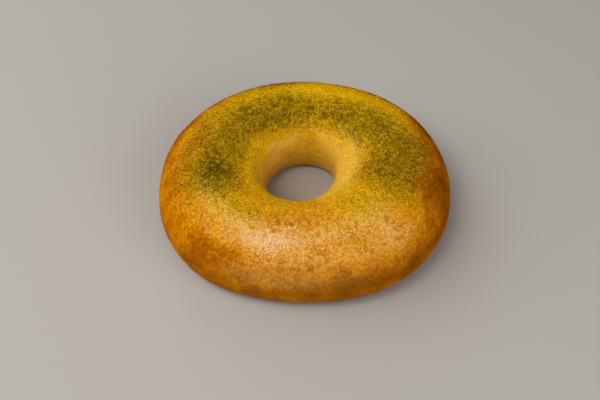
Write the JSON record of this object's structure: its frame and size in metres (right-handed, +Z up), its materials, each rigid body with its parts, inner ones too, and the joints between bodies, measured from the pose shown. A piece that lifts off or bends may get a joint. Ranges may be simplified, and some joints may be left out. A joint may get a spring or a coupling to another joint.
{
  "type": "bagel",
  "caption": "Golden baked bagel: a plump, slightly oval ring of bread with a small hole, a flat sole and a fine dusting of flakes and meal on its crown.",
  "frame": {"origin": "on the surface the bagel lies on, under the middle of its outline", "axes": "+Z up through the hole, +X along the longer side of the outline, +Y towards the part of the crown with most dark flakes"},
  "size_m": [0.12, 0.1072, 0.0327],
  "materials": {
    "crust": "golden baked crust with a soft sheen, toasted orange-brown in places",
    "flakes": "dark olive flakes, dry and dull",
    "meal": "pale cream grains, dry and dull"
  },
  "bodies": {
    "root": {"bagel": "crust"}
  },
  "joints": []
}
